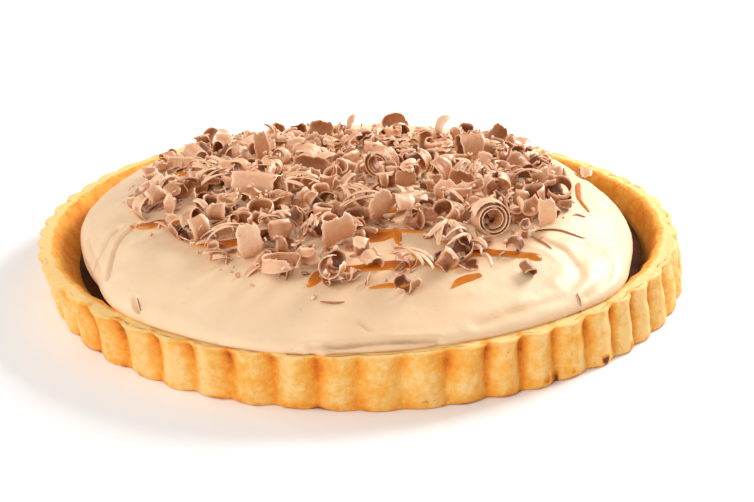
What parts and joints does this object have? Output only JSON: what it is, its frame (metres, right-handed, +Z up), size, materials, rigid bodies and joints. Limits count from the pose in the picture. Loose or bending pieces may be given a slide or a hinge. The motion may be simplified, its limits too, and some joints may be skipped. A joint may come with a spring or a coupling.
{
  "type": "cream tart",
  "caption": "Round tart: fluted baked crust, dark filling, low dome of coffee-coloured cream with caramel drizzle and shaved chocolate curls on top.",
  "frame": {"origin": "middle of the crust's flat underside, on the surface that it stands on", "axes": "+Z up; the side shown in the picture faces -Y, its right is +X"},
  "size_m": [0.2531, 0.2497, 0.0556],
  "materials": {
    "crust": "matte",
    "filling": "gloss",
    "cream": "satin",
    "chocolate": "satin"
  },
  "bodies": {
    "root": {"crust": "crust", "filling": "filling", "cream": "cream", "curl_spiral_front": "chocolate", "curl_ring_front": "chocolate", "curl_spiral_middle": "chocolate", "curl_scoop_middle": "chocolate", "curl_folded_right": "chocolate", "curl_loop_right": "chocolate", "curl_plate_left": "chocolate", "curl_plate_front": "chocolate", "curl_flake_right": "chocolate", "curl_scoop_left": "chocolate", "curl_plate_side": "chocolate", "curl_sliver_rear": "chocolate", "curl_sliver_edge": "chocolate", "curl_roll_rear": "chocolate", "curl_scoop_rear": "chocolate", "curl_roll_side": "chocolate", "curl_ring_rear": "chocolate", "curl_plate_rear": "chocolate", "curl_roll_left": "chocolate", "curl_plate_middle": "chocolate", "curl_plate_right": "chocolate"}
  },
  "joints": []
}
